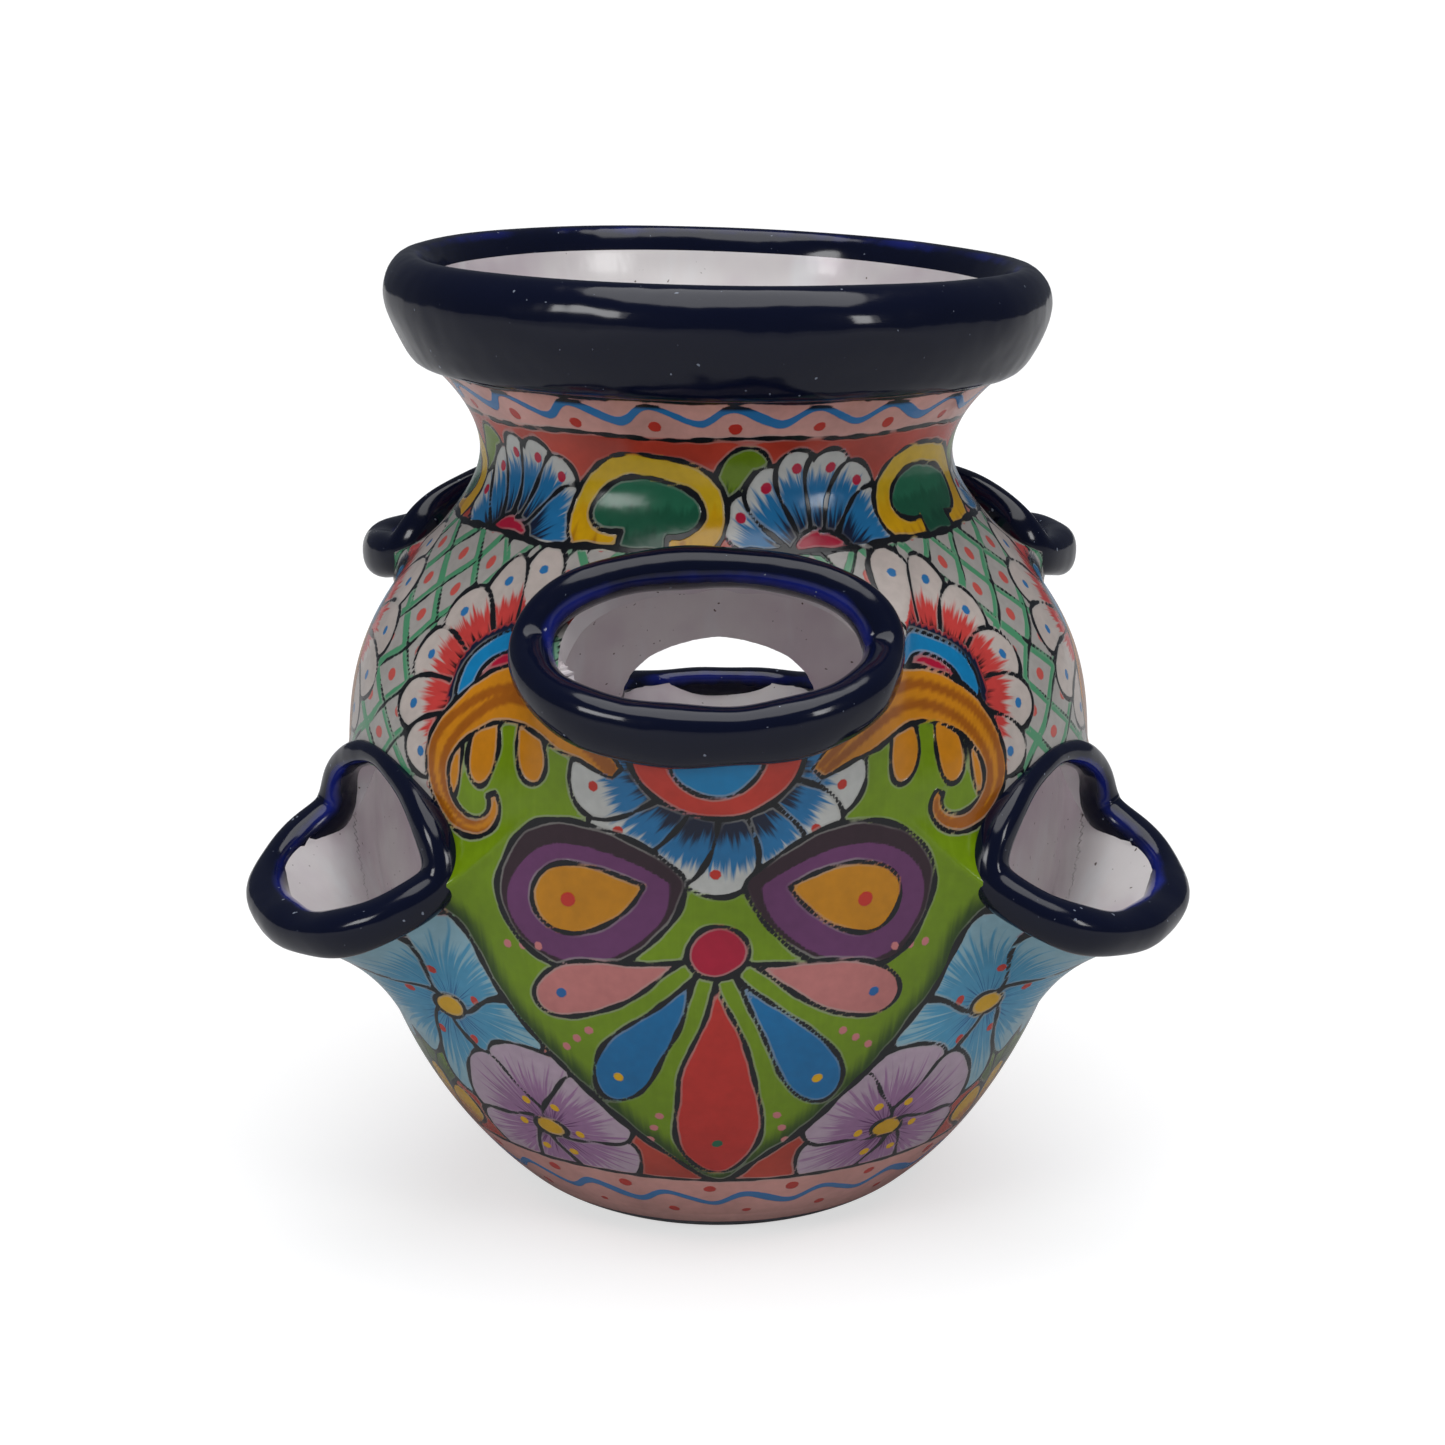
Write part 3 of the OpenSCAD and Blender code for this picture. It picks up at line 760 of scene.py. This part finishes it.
soften_mouths()
parts = [name for name, _, _ in BANDS] + [pocket.name for pocket in POCKETS]
skin.data.materials.append(painted)
skin.data.materials.append(plain)
for number, node in enumerate(parts):
    shell = cut_out(skin, kept(skin, "owner") == number)
    shell.name = node + "_clay"
    shell.data.attributes.remove(shell.data.attributes["owner"])
    unselect()
    bpy.context.view_layer.objects.active = shell
    shell.select_set(True)
    thickness = shell.modifiers.new("thickness", "SOLIDIFY")
    thickness.thickness = WALL * MM
    thickness.offset = -1.0
    thickness.material_offset = 1
    thickness.material_offset_rim = 1
    bpy.ops.object.modifier_apply(modifier="thickness")
    finish_piece(shell, node)
bpy.data.objects.remove(skin)


# ---------------------------------------------------------------- rim roll
# The rim is a thick roll of clay luted to the neck. Cobalt covers its outside and crest, and the
# inside keeps the plain glaze.

RIM_SIDES, ROUNDS = 56, 256


def hoop(name, sections):
    """A closed ring of clay: a torus whose every cross-section is laid where it is wanted."""
    rounds, around = sections.shape[:2]
    unselect()
    bpy.ops.mesh.primitive_torus_add(major_segments=rounds, minor_segments=around, major_radius=0.1,
                                     minor_radius=0.01)
    ring = bpy.context.object
    ring.name = name
    ring.data.vertices.foreach_set("co", (by_hand(sections) * MM).ravel())
    ring.data.update()
    return ring


def section_line(points, count):
    """Evenly spaced points on a smooth closed outline."""
    line = smooth_line(points, True, 12)
    line = np.vstack([line, line[:1]])
    length = np.r_[0, np.cumsum(np.linalg.norm(np.diff(line, axis=0), axis=1))]
    at = np.linspace(0, length[-1], count, endpoint=False)
    return np.stack([np.interp(at, length, line[:, k]) for k in (0, 1)], -1)


def revolve(outline, rounds):
    """Lays one outline of (radius, height) around the pot's axis."""
    a = np.linspace(-math.pi, math.pi, rounds, endpoint=False)[:, None]
    r, z = outline[None, :, 0], outline[None, :, 1] + 0 * a
    return np.stack([r * np.sin(a), -r * np.cos(a), z], -1)


# Cobalt glaze: almost black where it is thick, ultramarine where it ran thin, with a wet gloss.
cobalt, tree, shader = new_glaze("cobalt_glaze")
place = (add(tree, "ShaderNodeTexCoord"), "Object")
thin = (add(tree, "ShaderNodeAttribute", attribute_name="thin"), "Fac")
flow = add(tree, NOISE, {"Vector": place, "Scale": 55.0, "Detail": 3.0, "Roughness": 0.6})
pits = add(tree, NOISE, {"Vector": place, "Scale": 480.0, "Detail": 1.0})
dents = add(tree, NOISE, {"Vector": place, "Scale": 48.0})
flow = add(tree, MATH, {0: (flow, "Fac"), 1: 0.9, 2: -0.45}, operation="MULTIPLY_ADD")
flow = add(tree, MATH, {0: thin, 1: (flow, 0)}, operation="ADD")
run_thin = add(tree, STEP, {0: (flow, 0), 1: 0.35, 2: 1.0}, **SOFT)
pitted = add(tree, STEP, {0: (pits, "Fac"), 1: 0.76, 2: 0.8}, **SOFT)
colour = add(tree, MIX, {0: (run_thin, 0), 6: rgba(linear("#0a0f24")), 7: rgba(linear("#1c2780"))}, **COLOURS)
colour = add(tree, MIX, {0: (pitted, 0), 6: (colour, 2), 7: rgba(linear("#7d8594"))}, **COLOURS)
bump = add(tree, "ShaderNodeBump", {"Strength": 0.5, "Distance": 0.002, "Height": (dents, "Fac")})
fill_inputs(tree, shader, {"Base Color": (colour, 2), "Normal": (bump, 0), "Roughness": 0.13, "IOR": 1.52,
                           "Specular IOR Level": 0.28, "Coat Weight": 0.08, "Coat Roughness": 0.05})

rim_outline = section_line([(95.4, 265), (95.9, 270), (94.6, 275), (91.4, 278.8), (87.8, 280), (84.8, 278.4),
                            (82.6, 274), (80.6, 266), (77.2, 257.5), (74.6, 252), (73.6, 249.7), (77, 249.4),
                            (82, 249.2), (86.4, 249.6), (89.2, 252), (91.6, 256), (93.8, 260.5)], RIM_SIDES)
rim_sections = revolve(rim_outline, ROUNDS)
a = np.arctan2(rim_sections[..., 0], -rim_sections[..., 1])
swell = 1 + 0.004 * np.sin(5 * a + 1) + 0.003 * np.sin(11 * a) * np.sin(rim_sections[..., 2] / 4)
rim_sections[..., :2] *= swell[..., None]
rim = hoop("rim_roll_clay", rim_sections)
crest = np.exp(-((rim_outline[:, 0] - 85.5) ** 2 / 9 + (rim_outline[:, 1] - 279) ** 2 / 8))
seat = np.exp(-((rim_outline[:, 1] - RIM_SEAT) ** 2) / 6) * (rim_outline[:, 0] > 82)
keep(rim, "thin", np.tile(0.55 * crest + 0.45 * seat, ROUNDS))
rim.data.materials.append(cobalt)
rim.data.materials.append(plain)
glazed_white = (rim_outline[:, 0] < 82.4) & (rim_outline[:, 1] < 273.5)
slots = [1 if glazed_white[[v % RIM_SIDES for v in f.vertices]].all() else 0 for f in rim.data.polygons]
rim.data.polygons.foreach_set("material_index", slots)
finish_piece(rim, "rim_roll", 70)

# ---------------------------------------------------------------- lips of the pockets
# Each mouth is edged with a coil of clay: its front half lies on the pouch, its back half is pressed
# on the wall over the arch, and the two are pinched together at the corners. All cobalt.

LIP_ROUNDS, LIP_SIDES, FINE = 216, 32, 720


def loop_of(pocket):
    """Middle line of a lip, with the way its coil faces at each place."""
    a = np.linspace(0, 2 * math.pi, FINE, endpoint=False)
    c, s = np.cos(a), np.sin(a)
    y = pocket.half * 1.03 * np.sign(c) * abs(c) ** np.where(s < 0, pocket.fullness, pocket.point)
    s = np.sign(s) * abs(s) ** pocket.fullness
    drop = math.hypot(pocket.front[0] - pocket.end[0], pocket.end[1] - pocket.front[1])
    climb = np.array([math.sin(pocket.lean), 0.0, math.cos(pocket.lean)])
    proud = np.array([math.cos(pocket.lean), 0.0, -math.sin(pocket.lean)])
    ends = np.stack([np.full(FINE, pocket.end[0]), y, np.full(FINE, pocket.end[1])], -1)
    front, back = np.clip(-s, 0, 1)[:, None], np.clip(s, 0, 1)[:, None]
    over_back = pocket.arch_rise * climb - 2.2 * proud
    line = ends + front * drop * pocket.out + back * over_back + 1.0 * pocket.up
    facing = np.where(s[:, None] < 0, pocket.up, 0.8 * proud + 0.6 * pocket.up)
    data = np.hstack([line, facing, front**0.7 - back**1.5])
    data = np.vstack([data, data[:1]])
    length = np.r_[0, np.cumsum(np.linalg.norm(np.diff(data[:, :3], axis=0), axis=1))]
    at = np.linspace(0, length[-1], LIP_ROUNDS, endpoint=False)
    even = np.stack([np.interp(at, length, data[:, k]) for k in range(7)], -1)
    for _ in range(40):
        even[:, :3] = 0.5 * even[:, :3] + 0.25 * (np.roll(even[:, :3], 1, 0) + np.roll(even[:, :3], -1, 0))
    for _ in range(60):
        even[:, 3:] = 0.5 * even[:, 3:] + 0.25 * (np.roll(even[:, 3:], 1, 0) + np.roll(even[:, 3:], -1, 0))
    return even[:, :3], even[:, 3:6], even[:, 6]


for number, pocket in enumerate(POCKETS):
    line, facing, front_share = loop_of(pocket)
    ahead = np.roll(line, -1, 0) - np.roll(line, 1, 0)
    ahead /= np.linalg.norm(ahead, axis=1)[:, None]
    outward = np.cross(ahead, facing)
    if (outward * (line - line.mean(0))).sum() < 0:
        raise SystemExit("a lip runs the wrong way round")
    outward /= np.linalg.norm(outward, axis=1)[:, None]
    facing = np.cross(outward, ahead)
    a = np.linspace(0, 2 * math.pi, LIP_SIDES, endpoint=False)
    way = np.arange(len(line)) / len(line) * 2 * math.pi
    uneven = 1 + 0.035 * np.sin(5 * way + number) + 0.03 * np.sin(9 * way + 2 * number)
    back_share, front_share = np.clip(-front_share, 0, 1), np.clip(front_share, 0, 1)
    narrower, deeper, flatter = (0.3, 2.6, 0.2) if pocket.upper else (2.5, 0.6, 2.5)
    thick = (5.6 + 0.5 * front_share - narrower * back_share) * uneven
    deep = (5.9 + deeper * front_share - flatter * back_share) * uneven
    c, s = np.cos(a), np.sin(a)
    c, s = np.sign(c) * abs(c) ** 0.86, np.sign(s) * abs(s) ** 0.86
    sunk_front, sunk_back = (2.6, 0.0) if pocket.upper else (1.0, 1.5)
    line = line - facing * (sunk_front * front_share + sunk_back * back_share)[:, None]
    sections = (line[:, None] + outward[:, None] * (c[None] * thick[:, None])[..., None]
                + facing[:, None] * (s[None] * deep[:, None])[..., None])
    # The front lip was laid on a little wide, and a little to the left.
    if number == 0:
        sections[..., 1] = sections[..., 1] * 1.04 - 2.5
    node = pocket.name.replace("pouch", "lip")
    lip = hoop(node + "_coil", pocket.to_pot(sections))
    inner_edge = np.exp(-((a - math.pi * 0.8) ** 2) / 0.35)
    keep(lip, "thin", (inner_edge[None] * (0.75 + 0.2 * np.sin(3 * way))[:, None]))
    lip.data.materials.append(cobalt)
    finish_piece(lip, node, 75)

# ---------------------------------------------------------------- foot
# The floor is one thick disc with the drain hole. Its edge carries the last of the pink band over a
# cobalt line, its top is glazed, and it stands on bare clay.

# Bare fired clay: matt terracotta with a sandy grain.
bisque, tree, shader = new_glaze("bare_earthenware")
place = (add(tree, "ShaderNodeTexCoord"), "Object")
sand = add(tree, NOISE, {"Vector": place, "Scale": 900.0, "Detail": 4.0, "Roughness": 0.65})
patch = add(tree, NOISE, {"Vector": place, "Scale": 45.0, "Detail": 3.0})
patchy = add(tree, STEP, {0: (patch, "Fac"), 1: 0.3, 2: 0.7}, **SOFT)
sandy = add(tree, STEP, {0: (sand, "Fac"), 1: 0.55, 2: 0.75, 3: 0.0, 4: 0.6}, **SOFT)
colour = add(tree, MIX, {0: (patchy, 0), 6: rgba(linear("#a5603d")), 7: rgba(linear("#b97a55"))}, **COLOURS)
colour = add(tree, MIX, {0: (sandy, 0), 6: (colour, 2), 7: rgba(linear("#8a4c2f"))}, **COLOURS)
bump = add(tree, "ShaderNodeBump", {"Strength": 0.6, "Distance": 0.0006, "Height": (sand, "Fac")})
fill_inputs(tree, shader, {"Base Color": (colour, 2), "Normal": (bump, 0), "Roughness": 0.85})


def straight(a, b, count):
    """Points from a to b, without b."""
    t = np.arange(count)[:, None] / count
    return np.array(a, float) * (1 - t) + np.array(b, float) * t


HOLE = 8.0
up_side = np.linspace(0.8, BASE_TOP, 14)
top_edge, bottom_edge = wall_radius(BASE_TOP), wall_radius(0.0)
foot_outline = np.vstack([
    np.stack([wall_radius(up_side), up_side], -1),
    straight((top_edge - 0.6, BASE_TOP), (HOLE + 0.6, BASE_TOP), 22),
    straight((HOLE, BASE_TOP - 0.6), (HOLE, 0.6), 8),
    straight((HOLE + 0.6, 0), (bottom_edge - 1.2, 0), 18),
    straight((bottom_edge - 0.4, 0.15), (56.6, 0.8), 2)])
foot_outline = np.roll(foot_outline, -7, 0)
foot_sections = revolve(foot_outline, ROUNDS)
foot = hoop("floor_disc_clay", foot_sections)
z = foot_sections[..., 2].ravel()
pink = np.tile(PINK * 1.1, (len(z), 1))
for name in ("root_glaze", "middle_glaze", "tip_glaze"):
    keep(foot, name, pink, "FLOAT_VECTOR")
keep(foot, "drop_glaze", np.tile(linear("#0d1430"), (len(z), 1)), "FLOAT_VECTOR")
keep(foot, "brush", np.tile([0, 0.5, 0], (len(z), 1)), "FLOAT_VECTOR")
keep(foot, "ink_gap", np.full(len(z), FAR))
keep(foot, "drop_gap", z - 5.2)
for glaze in (painted, plain, bisque):
    foot.data.materials.append(glaze)
slots = []
for f in foot.data.polygons:
    r = math.hypot(f.center.x, f.center.y)
    slots.append(2 if f.normal.z < -0.95 or r < (HOLE + 0.4) * MM else 1 if f.normal.z > 0.5 else 0)
foot.data.polygons.foreach_set("material_index", slots)
finish_piece(foot, "floor_disc", 35)

# ---------------------------------------------------------------- studio
# A plain white floor that runs out of sight, broad soft lamps, and a camera a little above the rim.

unselect()
bpy.ops.mesh.primitive_plane_add(size=8)
paper = bpy.context.object
paper.name = "floor"
paper_white, tree, shader = new_glaze("matt_white_paper")
seen = add(tree, "ShaderNodeLightPath")
glow = add(tree, MATH, {0: (seen, "Is Camera Ray"), 1: 0.62}, operation="MULTIPLY")
fill_inputs(tree, shader, {"Base Color": rgba(linear("#bcbcbc")), "Roughness": 0.9,
                           "Emission Color": (1, 1, 1, 1), "Emission Strength": (glow, 0)})
paper.data.materials.append(paper_white)

sky = bpy.data.worlds.new("white_room")
sky.use_nodes = True
air = sky.node_tree
air.nodes.clear()
seen = add(air, "ShaderNodeLightPath")
room = add(air, "ShaderNodeBackground", {"Color": (0.80, 0.86, 1.0, 1), "Strength": 0.1})
white = add(air, "ShaderNodeBackground", {"Color": (1, 1, 1, 1), "Strength": 1.1})
mixed = add(air, "ShaderNodeMixShader", {0: (seen, "Is Camera Ray"), 1: (room, 0), 2: (white, 0)})
add(air, "ShaderNodeOutputWorld", {"Surface": (mixed, 0)})
bpy.context.scene.world = sky
bpy.context.scene.view_settings.view_transform = "Standard"


def lamp(name, kind, place, turned, power, **settings):
    """A soft lamp at a place, turned by three angles in degrees."""
    bpy.ops.object.light_add(type=kind, location=place, rotation=[math.radians(a) for a in turned])
    light = bpy.context.object
    light.name = name
    light.data.energy = power
    for key, value in settings.items():
        setattr(light.data, key, value)


lamp("overhead", "SUN", (0, 0, 2), (8, 3, 0), 2.5, angle=math.radians(64))
lamp("window_left", "AREA", (-1.0, -1.0, 0.75), (62, 0, -45), 5, shape="RECTANGLE", size=0.5, size_y=0.35)
lamp("window_right", "AREA", (1.1, -0.9, 0.7), (66, 0, 51), 3.5, shape="RECTANGLE", size=0.3, size_y=0.4)

EYE, LOOKS_DOWN = (0.0013, -0.7842, 0.3542), 15.31
bpy.ops.object.camera_add(location=EYE, rotation=(math.radians(90 - LOOKS_DOWN), 0, 0))
camera = bpy.context.object
camera.data.lens = 66.84
camera.data.sensor_width = 36
bpy.context.scene.camera = camera
